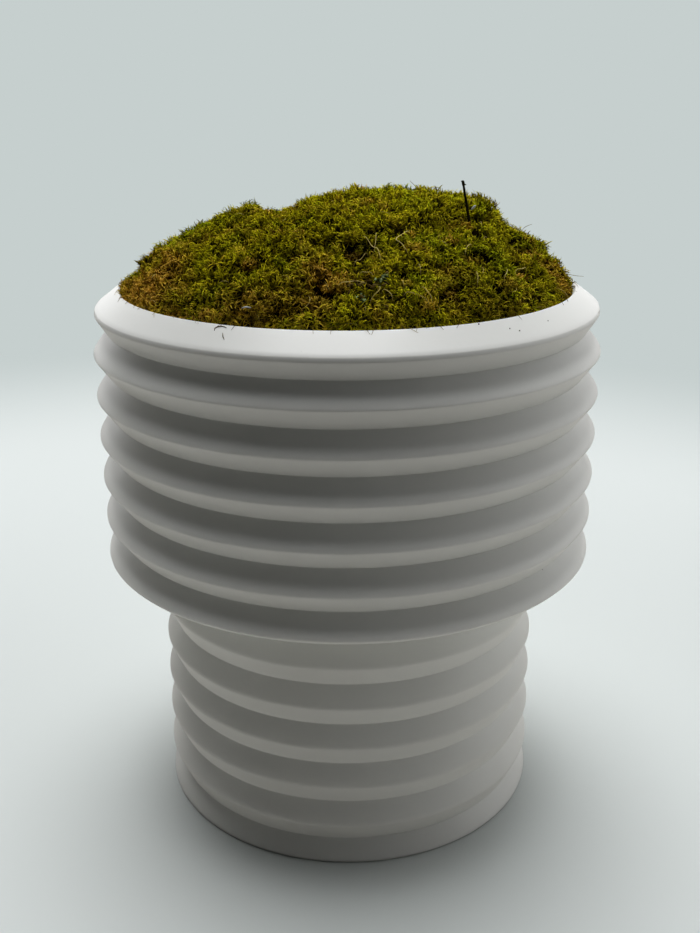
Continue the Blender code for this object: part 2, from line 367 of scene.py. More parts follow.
CRUMB_REACH = 0.6
CRUMB_POINTS = 4
CRUMB_HEIGHT = 0.15

# Camera: fitted to the rings of the pot, for an image of 700 by 933
IMAGE_LONG_SIDE = 933
FOCAL_PIXELS = 1100.6
SENSOR = 36.0
CLIP_START = 0.01
CAMERA_PLACE = (0.0, -0.5439, 0.36625)
CAMERA_PITCH = 19.66
CAMERA_TURN = -0.115
CAMERA_ROLL = -0.27

# Stage: lengths in metres, directions as unit vectors, and a range as (from, to), with the values that it
# turns into after them where they don't depend on a setting
FLOOR_HALF = 6.0
FLOOR_LIT = (-0.65, -0.25)
FLOOR_DARK = 0.1
# Painted light on the floor: from and to along y, and the paper's brightness there
FLOOR_PAINTED_LIGHT = (0.0, 0.5, 0.94, 1.08)
BACKDROP_MIDDLE = (-0.1, 0.0, 0.0)
BACKDROP_FADE = (0.55, 1.02)
LAMP_DIRECTION = (-0.04, 0.16, 0.986)
LAMP_RANGE = (0.91, 0.985)
WALL_DIRECTION = (0.545, 0.839, 0.0)
WALL_RANGE = (-0.1, 0.45)
WALL_TOP = (0.3, 0.75, 1.0, 0.3)
LEFT_GAIN = -0.4

# Inputs of a Mix node in its colour mode, and the softer kind of Map Range
MIX_A = 6
MIX_B = 7
SMOOTH = {"interpolation_type": "SMOOTHSTEP"}


def linear(code):
    """The linear colour of an sRGB hex code: the standard curve, a line near black and a power above it."""
    values = np.array([int(code[i:i + 2], 16) / 255 for i in (0, 2, 4)])
    curved = np.where(values <= 0.04045, values / 12.92, ((values + 0.055) / 1.055) ** 2.4)
    return (*[float(v) for v in curved], 1.0)


def set_sockets(node, sockets):
    """Gives inputs a value or a link: a list goes to the first ones in order, a dict to those of its names.

    A node stands for its first output in use.
    """
    for key, value in dict(sockets if isinstance(sockets, dict) else enumerate(sockets)).items():
        if isinstance(value, bpy.types.Node):
            value = next(output for output in value.outputs if output.enabled)
        if isinstance(value, bpy.types.NodeSocket):
            node.id_data.links.new(value, node.inputs[key])
        else:
            node.inputs[key].default_value = value


def add_node(tree, kind, sockets=(), stops=(), **settings):
    """Adds a node with its settings, its sockets and, on a colour ramp, its stops."""
    new = tree.nodes.new(kind)
    for name, value in settings.items():
        setattr(new, name, value)
    set_sockets(new, sockets)
    for i, (place, colour) in enumerate(stops):
        elements = new.color_ramp.elements
        stop = elements[i] if i < 2 else elements.new(place)
        stop.position = place
        stop.color = colour
    return new


def new_material(name):
    """A material with its node tree and its Principled shader."""
    material = bpy.data.materials.new(name)
    material.use_nodes = True
    return material, material.node_tree, material.node_tree.nodes["Principled BSDF"]


def add_piece(name, solid, material, attributes=None, smooth=True):
    """A mesh object at the origin from a solid's points in mm and corners, riding on the part's body."""
    points, quads, triangles = solid
    mesh = bpy.data.meshes.new(name)
    corners = np.concatenate([np.ravel(quads), np.ravel(triangles)]).astype(np.int32)
    sizes = np.concatenate([np.full(len(quads), 4), np.full(len(triangles), 3)])
    starts = np.concatenate([[0], np.cumsum(sizes)[:-1]]).astype(np.int32)
    mesh.vertices.add(len(points))
    mesh.vertices.foreach_set("co", (np.asarray(points) * MM).astype(np.float32).ravel())
    mesh.loops.add(len(corners))
    mesh.loops.foreach_set("vertex_index", corners)
    mesh.polygons.add(len(sizes))
    mesh.polygons.foreach_set("loop_start", starts)
    mesh.polygons.foreach_set("use_smooth", np.full(len(sizes), smooth))
    mesh.update(calc_edges=True)
    for label, values in (attributes or {}).items():
        layer = mesh.attributes.new(label, "FLOAT", "POINT")
        layer.data.foreach_set("value", np.asarray(values, np.float32).ravel())
    mesh.materials.append(material)
    obj = bpy.data.objects.new(name, mesh)
    bpy.context.scene.collection.objects.link(obj)
    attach(obj, BODY)
    return obj


def ring_solids(rings, starts, ends):
    """Closed solids from stacks of rings: rings is (solids, rings, points round, 3), with a pole at each end.

    A quad joins each pair of neighbours along and round, and a fan of triangles closes each pole.
    """
    count, rows, cols = rings.shape[:3]
    size = rows * cols + 2
    points = np.concatenate([rings.reshape(count, -1, 3), starts[:, None], ends[:, None]], 1).reshape(-1, 3)
    shift = (np.arange(count) * size)[:, None, None]
    row, col = np.meshgrid(np.arange(rows - 1), np.arange(cols), indexing="ij")
    here = (row * cols + col).ravel()
    beside = (row * cols + (col + 1) % cols).ravel()
    quads = np.stack([here, here + cols, beside + cols, beside], 1)[None] + shift
    around = np.arange(cols)
    after = (around + 1) % cols
    last = (rows - 1) * cols
    first_fan = np.stack([np.full(cols, rows * cols), around, after], 1)
    last_fan = np.stack([np.full(cols, rows * cols + 1), last + after, last + around], 1)
    triangles = np.concatenate([first_fan, last_fan])[None] + shift
    return points, quads.reshape(-1, 4), triangles.reshape(-1, 3)


def joined(solids):
    """Several solids (points, quads, triangles) as one."""
    shifts = np.cumsum([0] + [len(points) for points, _, _ in solids])
    points, quads, triangles = zip(*solids)
    moved = [np.concatenate([corners + shift for corners, shift in zip(faces, shifts)])
             for faces in (quads, triangles)]
    return np.concatenate(points), *moved


def unit(vectors):
    """The vectors, each divided by its length."""
    return vectors / np.maximum(np.linalg.norm(vectors, axis=-1, keepdims=True), 1e-9)


def tubes(paths, radii, sides):
    """Round tubes along paths (tubes, points, 3): a ring of radius r across the tangent at each point."""
    tangents = unit(np.gradient(paths, axis=1))
    chord = unit(paths[:, -1] - paths[:, 0])
    steepest = np.eye(3)[np.argmin(np.abs(chord), axis=1)]
    u = unit(np.cross(tangents, steepest[:, None]))
    v = np.cross(u, tangents)
    angles = np.arange(sides) * 2 * math.pi / sides
    ring = u[:, :, None] * np.cos(angles)[:, None] + v[:, :, None] * np.sin(angles)[:, None]
    rings = paths[:, :, None] + ring * radii[:, :, None, None]
    return ring_solids(rings, paths[:, 0], paths[:, -1])


def tapered_tubes(groups):
    """Groups (paths, radii, share at the ends, sides, tones) as tubes in one solid, with each point's tone.

    The radius falls by t^2 from the middle to that share of it at both ends.
    """
    solids = []
    tones = []
    for paths, radii, ends, sides, tone in groups:
        count, steps = paths.shape[:2]
        t = np.linspace(-1, 1, steps)
        thickness = np.reshape(radii, (-1, 1)) * (1 - (1 - ends) * t ** 2) * np.ones((count, 1))
        solids.append(tubes(paths, thickness, sides))
        tones.append(np.repeat(np.broadcast_to(tone, count), len(solids[-1][0]) // count))
    return joined(solids), {"tone": np.concatenate(tones)}


def along_curve(points, count):
    """Even places on a Catmull-Rom curve through the points: each span is the usual cubic of four points."""
    points = np.asarray(points, float)
    ends = np.concatenate([[2 * points[0] - points[1]], points, [2 * points[-1] - points[-2]]])
    place = np.linspace(0, len(points) - 1, count)
    span = np.minimum(place.astype(int), len(points) - 2)
    t = (place - span)[:, None]
    a, b, c, d = (ends[span + k] for k in range(4))
    line = 2 * b + (c - a) * t + (2 * a - 5 * b + 4 * c - d) * t ** 2 + (3 * b - a - 3 * c + d) * t ** 3
    return 0.5 * line


def lengths(line):
    """How far along the line each of its points is."""
    return np.concatenate([[0], np.cumsum(np.hypot(*np.diff(line, axis=0).T))])


def read_at(places, known, line):
    """The line's points at the places, between those whose places are known."""
    return np.stack([np.interp(places, known, line[:, i]) for i in (0, 1)], 1)


def bent(start, middle, end):
    """Points on the curve (1 - t)^2 start + 2 t (1 - t) middle + t^2 end, without its last point."""
    t = np.linspace(0, 1, FLARE_POINTS)[:-1, None]
    start, middle, end = (np.array(point, float) for point in (start, middle, end))
    return list((1 - t) ** 2 * start + 2 * t * (1 - t) * middle + t ** 2 * end)


def rib_line(edge, lip, next_edge):
    """A rib: a band that slopes in from its edge to a lip, a small ledge, and a face that swells outward.

    The face is a quadratic curve that turns upright just above the next edge.
    """
    root = (lip[0] - LIP_DEPTH, lip[1] - LIP_SLOPE)
    turn = (next_edge[0], next_edge[1] + EDGE_TURN)
    return [edge, lip, *bent(root, turn, next_edge)]


def lower_edge(i):
    """The edge of the lower tier's rib i, counted from the foot; the tier widens a little on its way down."""
    return (LOWER_R + LOWER_SPLAY * (1 - i / LOWER_RIBS), i * LOWER_PITCH)


def pot_line():
    """The pot's section: from the middle of its inner floor over the rim and down its ribs to the foot."""
    line = [(0, FLOOR), (WALL_LOWER_R, FLOOR), (WALL_LOWER_R, SHELF_TOP - SHELF_SLOPE),
            (RIM_INNER_R - SHELF_SLOPE, SHELF_TOP), (RIM_INNER_R, SHELF_TOP + SHELF_SLOPE),
            (RIM_INNER_R, RIM_TOP - RIM_LIP_R), (RIM_INNER_R + RIM_LIP_R, RIM_TOP), RIM_SHOULDER]
    heights = [UPPER_TOP_EDGE - i * UPPER_PITCH for i in range(UPPER_RIBS)]
    edges = [RIM_EDGE] + [(UPPER_R, height) for height in heights[1:]]
    for edge, height, next_edge in zip(edges, heights, edges[1:]):
        line += rib_line(edge, (UPPER_LIP_R, height - UPPER_BAND), next_edge)
    line += [edges[-1], (UPPER_R - STEP_LIP, STEP_UNDER), (LOWER_LIP_R + NECK_FILLET, STEP_UNDER),
             (LOWER_LIP_R, STEP_UNDER - NECK_FILLET)]
    foot = (FOOT_R, FOOT_EDGE)
    for i in range(LOWER_RIBS + 1, 0, -1):
        edge_r, height = lower_edge(i)
        lip = (LOWER_LIP_R + edge_r - LOWER_R, height - LOWER_BAND)
        points = rib_line((edge_r, height), lip, lower_edge(i - 1) if i > 1 else foot)
        line += points[1:] if i > LOWER_RIBS else points
    line += [foot, (FOOT_R - FOOT_EDGE, 0), (0, 0)]
    return np.array(line)


def softened(line, blur):
    """The line averaged over a bell-shaped window of its length, which rounds its corners; its ends stay."""
    length = lengths(line)
    dense = read_at(np.arange(0, length[-1], PROFILE_STEP), length, line)
    reach = int(3 * blur / PROFILE_STEP)
    window = np.exp(-0.5 * (np.arange(-reach, reach + 1) * PROFILE_STEP / blur) ** 2)
    wide = np.pad(dense, ((reach, reach), (0, 0)), mode="edge")
    smooth = np.stack([np.convolve(wide[:, i], window / window.sum(), "valid") for i in (0, 1)], 1)
    smooth[0], smooth[-1] = line[0], line[-1]
    return smooth


def thinned(line, count):
    """The same line with fewer points, closer together where it bends: spaced by length plus turning."""
    steps = np.diff(line, axis=0)
    heading = np.unwrap(np.arctan2(steps[:, 1], steps[:, 0]))
    turning = np.abs(np.diff(heading, prepend=heading[0]))
    weight = np.concatenate([[0], np.cumsum(np.hypot(*steps.T) + PROFILE_TURN_WEIGHT * turning)])
    return read_at(np.linspace(0, weight[-1], count), weight, line)


def turned(line, segments):
    """The line (r, z) turned once round the z axis: x = r cos a, y = r sin a, with a pole at each end."""
    angles = np.arange(segments) * 2 * math.pi / segments
    r, z = line[1:-1, 0, None], line[1:-1, 1, None]
    rings = np.stack([r * np.cos(angles), r * np.sin(angles), z + 0 * angles], -1)
    poles = [np.array([[0, 0, line[i, 1]]]) for i in (0, -1)]
    return ring_solids(rings[None], *poles)


def satin_glaze(settings):
    """White earthenware under satin glaze: almost even, softly glossy, iron specks and pinholes of painted
    shade.
    """
    material, tree, shader = new_material("satin_white_glaze")
    place = add_node(tree, "ShaderNodeTexCoord").outputs["Object"]
    cloud = add_node(tree, "ShaderNodeTexNoise", {"Vector": place, "Scale": 22.0, "Detail": 3.0})
    thin, full = (*settings.glaze_warm, 1), (*settings.glaze, 1)
    tint = add_node(tree, "ShaderNodeMix", {0: cloud, MIX_A: thin, MIX_B: full}, data_type="RGBA")
    # Specks of iron and pinholes, up to 0.7 mm across, stand in about one of five cells of 15 mm
    cells = add_node(tree, "ShaderNodeTexVoronoi", {"Vector": place, "Scale": 65.0})
    chance = add_node(tree, "ShaderNodeSeparateColor", [cells.outputs["Color"]])
    radius = add_node(tree, "ShaderNodeMapRange", [chance.outputs["Red"], 0.78, 1.0, 0.0, 0.024])
    speck = add_node(tree, "ShaderNodeMath", [cells.outputs["Distance"], radius], operation="LESS_THAN")
    # Painted shade: the pinholes get the same dark colour as the iron specks
    iron_and_pinhole_shade = linear("6B645C")
    colour = add_node(tree, "ShaderNodeMix", {0: speck, MIX_A: tint, MIX_B: iron_and_pinhole_shade}, data_type="RGBA")
    gloss = add_node(tree, "ShaderNodeTexNoise", {"Vector": place, "Scale": 60.0, "Detail": 4.0})
    rough = add_node(tree, "ShaderNodeMapRange", {"Value": gloss, "To Min": settings.glaze_roughness - 0.05,
                                                  "To Max": settings.glaze_roughness + 0.07})
    skin = add_node(tree, "ShaderNodeTexNoise", {"Vector": place, "Scale": 380.0, "Detail": 2.0})
    bump = add_node(tree, "ShaderNodeBump", {"Height": skin, "Strength": 0.12, "Distance": 0.0002})
    set_sockets(shader, {"Base Color": colour, "Roughness": rough, "Normal": bump, "IOR": 1.5})
    return material


def potting_soil():
    """Dry potting soil: dark peat in crumbs of 2 to 4 mm, with a few paler bits of bark."""
    material, tree, shader = new_material("potting_soil")
    place = add_node(tree, "ShaderNodeTexCoord").outputs["Object"]
    crumbs = add_node(tree, "ShaderNodeTexVoronoi", {"Vector": place, "Scale": 330.0})
    grey = add_node(tree, "ShaderNodeSeparateColor", [crumbs.outputs["Color"]])
    colour = add_node(tree, "ShaderNodeValToRGB", [grey.outputs["Red"]],
                      ((0.0, linear("1A120C")), (0.85, linear("33271C")), (1.0, linear("6B5236"))))
    bump = add_node(tree, "ShaderNodeBump", {"Height": crumbs.outputs["Distance"], "Strength": 0.8,
                                             "Distance": 0.001})
    set_sockets(shader, {"Base Color": colour, "Normal": bump, "Roughness": 0.95})
    return material


def moss_leaf(settings):
    """Cushion moss, half dry: brown at the root, olive in the middle, yellow-green or ochre at the tip."""
    material, tree, shader = new_material("cushion_moss")
    tip, dry, fresh, shade = (add_node(tree, "ShaderNodeAttribute", attribute_name=label).outputs["Fac"]
                              for label in ("tip", "dry", "fresh", "shade"))
    colours = ((settings.olive_tip, "8A8208"), (settings.green_tip, "6E7A08"), (settings.dry_tip, "967210"))
    # The tip attribute is lower on leaves at a tuft's side, which makes them darker: painted shade
    olive, green, ochre = (add_node(tree, "ShaderNodeValToRGB", [tip],
                                    ((0.0, (*settings.root, 1)), (0.85, (*end, 1)), (0.45, linear(middle))))
                           for end, middle in colours)
    living = add_node(tree, "ShaderNodeMix", {0: fresh, MIX_A: olive, MIX_B: green}, data_type="RGBA")
    mixed = add_node(tree, "ShaderNodeMix", {0: dry, MIX_A: living, MIX_B: ochre}, data_type="RGBA")
    # The shade attribute scales the colour: random tone, painted shade in hollows, painted light on the ridge
    toned = add_node(tree, "ShaderNodeMix", {0: 1.0, MIX_A: mixed, MIX_B: shade}, data_type="RGBA",
                     blend_type="MULTIPLY", clamp_result=False)
    set_sockets(shader, {"Base Color": toned, "Roughness": 0.7, "Specular IOR Level": 0.0})
    return material


def dry_grass(settings):
    """Dry grass and moss stalks: pale tan and dull, some darker than others."""
    material, tree, shader = new_material("dry_grass")
    tone = add_node(tree, "ShaderNodeAttribute", attribute_name="tone").outputs["Fac"]
    colour = add_node(tree, "ShaderNodeValToRGB", [tone],
                      ((0.0, linear("4A3A14")), (1.0, (*settings.straw, 1)), (0.5, linear("9C8836"))))
    set_sockets(shader, {"Base Color": colour, "Roughness": 0.75, "Specular IOR Level": 0.0})
    return material


def dry_bark(settings):
    """Dry bark of a thin twig: near black brown, with fine cracks along it and paler worn ridges."""
    material, tree, shader = new_material("dry_bark")
    place = add_node(tree, "ShaderNodeTexCoord").outputs["Object"]
    tone = add_node(tree, "ShaderNodeAttribute", attribute_name="tone").outputs["Fac"]
    # The cracks are about 0.4 mm apart round the twig and eight times as long
    stretched = add_node(tree, "ShaderNodeMapping", {"Vector": place, "Scale": (2500.0, 2500.0, 300.0)})
    cracks = add_node(tree, "ShaderNodeTexNoise", {"Vector": stretched, "Scale": 1.0, "Detail": 3.0})
    worn = add_node(tree, "ShaderNodeMath", [cracks, 0.6, -0.3], operation="MULTIPLY_ADD")
    level = add_node(tree, "ShaderNodeMath", [tone, worn], operation="ADD")
    colour = add_node(tree, "ShaderNodeValToRGB", [level],
                      ((0.0, linear("0D0A06")), (1.0, linear("8C7A44")), (0.3, (*settings.bark, 1)),
                       (0.65, linear("584620"))))
    bump = add_node(tree, "ShaderNodeBump", {"Height": cracks, "Strength": 0.7, "Distance": 0.0002})
    set_sockets(shader, {"Base Color": colour, "Normal": bump, "Roughness": 0.85, "Specular IOR Level": 0.0})
    return material


def pale_grit():
    """Flakes of perlite from the potting mix: chalky, off-white with a cool tinge."""
    material, tree, shader = new_material("pale_grit")
    place = add_node(tree, "ShaderNodeTexCoord").outputs["Object"]
    pores = add_node(tree, "ShaderNodeTexNoise", {"Vector": place, "Scale": 900.0, "Detail": 2.0})
    colour = add_node(tree, "ShaderNodeMix", {0: pores, MIX_A: linear("B4BCBC"), MIX_B: linear("FAFAF6")},
                      data_type="RGBA")
    set_sockets(shader, {"Base Color": colour, "Roughness": 0.9})
    return material


def curled_lichen(settings):
    """Dried grey-green leaves and lichen among the moss: dull, paler at the tips."""
    material, tree, shader = new_material("curled_lichen")
    tip, shade = (add_node(tree, "ShaderNodeAttribute", attribute_name=label).outputs["Fac"]
                  for label in ("tip", "shade"))
    # The tip attribute is lower on leaves at a rosette's side: painted shade
    colour = add_node(tree, "ShaderNodeValToRGB", [tip],
                      ((0.1, linear("2E3418")), (0.9, (*settings.lichen, 1)), (0.5, linear("6A7A48"))))
    # The shade attribute is the nearest tuft's, with its tone and painted light, and a random share per leaf
    toned = add_node(tree, "ShaderNodeMix", {0: 1.0, MIX_A: colour, MIX_B: shade}, data_type="RGBA",
                     blend_type="MULTIPLY", clamp_result=False)
    set_sockets(shader, {"Base Color": toned, "Roughness": 0.8, "Specular IOR Level": 0.0})
    return material


def valley_line(name):
    """A valley's middle line, from the pocket to the rim."""
    valley = VALLEYS[name]
    angle = math.radians(valley["end"])
    end = (MOSS_R * math.cos(angle), MOSS_R * math.sin(angle))
    points = [POCKET, *valley["through"], end]
    return along_curve(points, VALLEY_STEPS * (len(points) - 1) + 1)


def line_distance(points, line):
    """How far each point (n, 2) is from a line of short straight pieces."""
    start, along = line[:-1], np.diff(line, axis=0)
    offset = points[:, None] - start
    t = np.clip((offset * along).sum(-1) / (along ** 2).sum(-1), 0, 1)
    return np.sqrt(((offset - along * t[..., None]) ** 2).sum(-1)).min(1)


def bells(points, bell_list):
    """The sum of bell-shaped bumps, each a strength times exp(-(dx / sx)^2 - (dy / sy)^2)."""
    total = np.zeros(len(points))
    for strength, cx, cy, sx, sy in bell_list:
        total += strength * np.exp(-((points[:, 0] - cx) / sx) ** 2 - ((points[:, 1] - cy) / sy) ** 2)
    return total


def mound_height(x, y):
    """The mound's top: edge + dome (rise + humps - deepest valley - pocket), dome = (1 - (r / R)^2.2)^0.6."""
    shape = np.shape(x)
    points = np.stack([np.ravel(x), np.ravel(y)], 1)
    rho = np.minimum(np.hypot(*points.T) / RIM_INNER_R, 1.0)
    dome = (1 - rho ** DOME_POWER) ** DOME_ROUND
    rise = np.full(len(points), MOSS_RISE) + bells(points, HUMPS)
    valleys = [valley["depth"] * np.exp(-(line_distance(points, valley_line(name)) / VALLEY_WIDTH) ** 2)
               for name, valley in VALLEYS.items()]
    pocket = POCKET_DEPTH * np.exp(-(np.hypot(*(points - POCKET).T) / POCKET_SPREAD) ** 2)
    return (MOSS_EDGE + dome * (rise - np.max(valleys, axis=0) - pocket)).reshape(shape)


def on_mound(plan):
    """Places (n, 2) with the mound's height."""
    return np.column_stack([plan, mound_height(*plan.T)])


def mound_normal(x, y):
    """The mound's upward normal, (-dz/dx, -dz/dy, 1) made a unit vector, with the slopes from small steps."""
    limit = np.minimum(1.0, (MOSS_R - SLOPE_STEP) / np.maximum(np.hypot(x, y), 1e-6))
    x, y = x * limit, y * limit
    slope_x = (mound_height(x + SLOPE_STEP, y) - mound_height(x - SLOPE_STEP, y)) / (2 * SLOPE_STEP)
    slope_y = (mound_height(x, y + SLOPE_STEP) - mound_height(x, y - SLOPE_STEP)) / (2 * SLOPE_STEP)
    return unit(np.stack([-slope_x, -slope_y, np.ones_like(x)], -1))


def ripples(points, kind, seed):
    """Soft random hills of a strength and size: a mean of sine waves in seeded directions, with a gain."""
    strength, size = kind
    rng = np.random.default_rng(seed)
    heading = rng.uniform(0, 2 * math.pi, RIPPLE_WAVES)
    pitch = size * rng.uniform(*RIPPLE_PITCHES, RIPPLE_WAVES)
    phase = rng.uniform(0, 2 * math.pi, RIPPLE_WAVES)
    across = points[:, 0, None] * np.cos(heading) + points[:, 1, None] * np.sin(heading)
    return strength * (np.sin(across * 2 * math.pi / pitch + phase).mean(1) * RIPPLE_GAIN)


def cushion_outline(spec):
    """A cushion's closed outline in plan: out along one valley, round the rim and back along the next."""
    start, end = (math.radians(VALLEYS[spec[side]]["end"]) for side in ("from", "to"))
    sweep = (end - start) % (2 * math.pi)
    angles = start + sweep * np.arange(1, ARC_STEPS + 1) / ARC_STEPS
    arc = MOSS_R * np.stack([np.cos(angles), np.sin(angles)], 1)
    return np.concatenate([valley_line(spec["from"]), arc, valley_line(spec["to"])[::-1][1:-1]])


def inside(points, outline):
    """Which points lie in the closed outline: those whose ray along +x crosses it an odd number of times."""
    a, b = outline, np.roll(outline, -1, axis=0)
    x, y = points[:, 0, None], points[:, 1, None]
    straddles = (a[:, 1] > y) != (b[:, 1] > y)
    rise = np.where(np.abs(b[:, 1] - a[:, 1]) < 1e-12, 1e-12, b[:, 1] - a[:, 1])
    crossing = a[:, 0] + (y - a[:, 1]) * (b[:, 0] - a[:, 0]) / rise
    return (straddles & (x < crossing)).sum(1) % 2 == 1


def spiral_places(spacing, rng):
    """Places (x, y) on a sunflower spiral with even area on the mound.

    Place k stands at k golden angles round, at the arc length that holds the share k / n of the dome's area.
    """
    r = np.linspace(0, MOSS_R, SPIRAL_STEPS)
    z = MOSS_RISE * (1 - (r / RIM_INNER_R) ** DOME_POWER) ** DOME_ROUND
    step = np.hypot(np.diff(r, prepend=0), np.diff(z, prepend=z[0]))
    arc = np.cumsum(step)
    area = np.cumsum(2 * math.pi * r * step)
    count = int(area[-1] / (TUFT_PACKING * spacing ** 2))
    k = np.arange(count)
    place = np.interp(area[-1] * (k + 0.5) / count, area, arc)
    place = place + rng.uniform(-TUFT_JITTER, TUFT_JITTER, count) * spacing
    radius = np.interp(np.clip(place, 0, arc[-1] - SPIRAL_MARGIN * spacing), arc, r)
    jitter = rng.uniform(-TUFT_JITTER, TUFT_JITTER, count) * spacing / np.maximum(radius, spacing)
    angle = k * math.pi * (3 - math.sqrt(5)) + jitter
    return np.stack([radius * np.cos(angle), radius * np.sin(angle)], 1)


def make_tufts(settings):
    """Every tuft's place, normal, radius and colour: on a spiral on the mound, then in a ring along the rim.

    A tuft is a cap of a ball that leans a little upright. No ball reaches further out than the rim's inner
    edge in front, and the balls at the left and right spill over it.
    """
    rng = np.random.default_rng(settings.seed)
    spacing = settings.tuft_size * MM_PER_M
    spiral = spiral_places(spacing, rng)
    place = np.arange(RIM_TUFTS) + rng.uniform(-TUFT_JITTER, TUFT_JITTER, RIM_TUFTS)
    ring = place * 2 * math.pi / RIM_TUFTS
    plan = np.concatenate([spiral, (MOSS_R - RIM_TUFT_INSET) * np.stack([np.cos(ring), np.sin(ring)], 1)])
    count = len(plan)
    at_rim = np.arange(count) >= len(spiral)
    normal = mound_normal(*plan.T)
    size = spacing * TUFT_RADIUS * rng.uniform(*TUFT_SIZES, count)
    raised = RAISED_HEIGHT * (rng.uniform(0, 1, count) < RAISED_SHARE)
    lift = ripples(plan, LIFT_RIPPLES, settings.seed + 1) + rng.uniform(*TUFT_LIFTS, count)
    lift = lift + raised + bells(plan, LIFTS)
    lean = unit(normal + LEAN_UP + rng.normal(0, LEAN_SPREAD, (count, 3)))
    foot = on_mound(plan)
    middle = foot + normal * (lift - TUFT_SINK)[:, None] - lean * size[:, None]
    middle[at_rim, 2] = RIM_TOP - RIM_TUFT_DROP + rng.uniform(*RIM_TUFT_LIFTS, RIM_TUFTS)
    radius = np.hypot(*middle[:, :2].T)
    sideways = np.abs(plan[:, 0]) / np.hypot(*plan.T)
    spill = (RIM_SPILL - RIM_LEAN * np.sign(plan[:, 0])) * sideways ** 3
    limit = RIM_INNER_R + RIM_GAP + spill - RIM_REACH * size
    middle[:, :2] *= np.where(at_rim, limit / radius, np.minimum(1, limit / radius))[:, None]
    odd = (rng.uniform(0, 1, count) < ODD_SHARE) * rng.uniform(*ODD_DRYNESS, count)
    dry = bells(plan, DRY_PATCHES) + ripples(plan, DRY_RIPPLES, settings.seed + 2) + odd
    dry = dry + rng.normal(*DRY_CHANCE, count)
    fresh = bells(plan, FRESH_PATCHES) + ripples(plan, FRESH_RIPPLES, settings.seed + 3)
    fresh = fresh + rng.normal(*FRESH_CHANCE, count)
    # Shade: tone at random, plus the patches of painted shade and painted highlight listed above
    shade = rng.normal(*SHADE_CHANCE, count) + ripples(plan, SHADE_RIPPLES, settings.seed + 4)
    shade = shade + bells(plan, TONES_AND_PAINTED_LIGHT)
    return with_extra({
        "plan": plan,
        "foot": foot,
        "size": size,
        "lift": np.where(at_rim, 0, lift),
        "normal": lean,
        "middle": middle,
        "sweep": unit(rng.normal(0, 1, (count, 3))),
        "dry": np.clip(dry, 0, 1),
        "fresh": np.clip(fresh, 0, 1),
        "shade": np.clip(shade, *SHADE_LIMITS),
    })


def with_extra(tufts):
    """The tufts and one more at each extra place, like the nearest of them."""
    places = np.array(EXTRA_TUFTS)
    near, _ = nearest_tuft(places, tufts)
    extra = chosen(tufts, near)
    extra.update(plan=places[:, :2], foot=places, middle=places)
    return {label: np.concatenate([values, extra[label]]) for label, values in tufts.items()}


def chosen(tufts, pick):
    """The tufts that a mask or a list of numbers picks."""
    return {label: values[pick] for label, values in tufts.items()}


def nearest_tuft(points, tufts):
    """For each point (n, 3) of the mound, the nearest tuft and how far it is, worked out in blocks."""
    found, distance = [], []
    for block in np.array_split(points, max(1, len(points) // BLOCK_POINTS)):
        gaps = np.linalg.norm(block[:, None] - tufts["foot"], axis=-1)
        found.append(gaps.argmin(1))
        distance.append(gaps.min(1))
    return np.concatenate(found), np.concatenate(distance)


def moss_bed(spec, tufts, settings):
    """The dense inside of a cushion: rings from its middle to its outline, domed under each tuft, flat below.

    A point lies under the mound's surface by the nearest tuft's radius less sqrt(c^2 - d^2), where c is the
    radius of its core and d the distance to its middle.
    """
    outline = cushion_outline(spec)
    closed = np.concatenate([outline, outline[:1]])
    length = lengths(closed)
    edge = read_at(np.linspace(0, length[-1], settings.bed_columns, endpoint=False), length, closed)
    middle = np.array(spec["middle"], float)
    share = np.linspace(0, BED_SHARE, settings.bed_rings + 1)[1:]
    plan = middle + (edge - middle) * share[:, None, None]
    flat = plan.reshape(-1, 2)
    surface = on_mound(flat)
    tuft, distance = nearest_tuft(surface, tufts)
    core = tufts["size"][tuft] * settings.core_share
    dome = np.sqrt(np.maximum(core ** 2 - distance ** 2, 0))
    depth = tufts["size"][tuft] + TUFT_SINK - dome - tufts["lift"][tuft]
    top = surface - mound_normal(*flat.T) * depth[:, None]
    top = top.reshape(*plan.shape[:2], 3)
    skirt_plan = middle + (edge - middle) * BED_SHARE
    skirt = np.stack([np.column_stack([skirt_plan, np.full(len(edge), level)]) for level in BED_SKIRT])
    rings = np.concatenate([top, skirt])[None]
    below = np.zeros(2 * len(edge) + 2)
    # Painted shade: where the bed shows between the tufts it is almost the roots' dark colour
    attributes = {"tip": np.concatenate([BED_TIP * dome / np.maximum(core, 0.1), below])}
    for label, value in {"dry": 0, "fresh": 0, "shade": 1}.items():
        attributes[label] = np.concatenate([tufts[label][tuft], below + value])
    return ring_solids(rings, top[0].mean(0)[None], np.array([[*middle, BED_SKIRT[-1]]])), attributes


def rim_height(r):
    """The height of the rim's top at a radius, for leaves that lie over it."""
    line = np.array([(RIM_INNER_R - RIM_MARGIN, RIM_TOP - RIM_FALL), (RIM_INNER_R + RIM_LIP_R, RIM_TOP),
                     RIM_SHOULDER])
    return np.interp(r, *line.T, left=0.0)


def on_rim(plan, above):
    """Places (..., 2) on the rim, that much above it."""
    return np.concatenate([plan, rim_height(np.hypot(plan[..., 0], plan[..., 1]))[..., None] + above], -1)


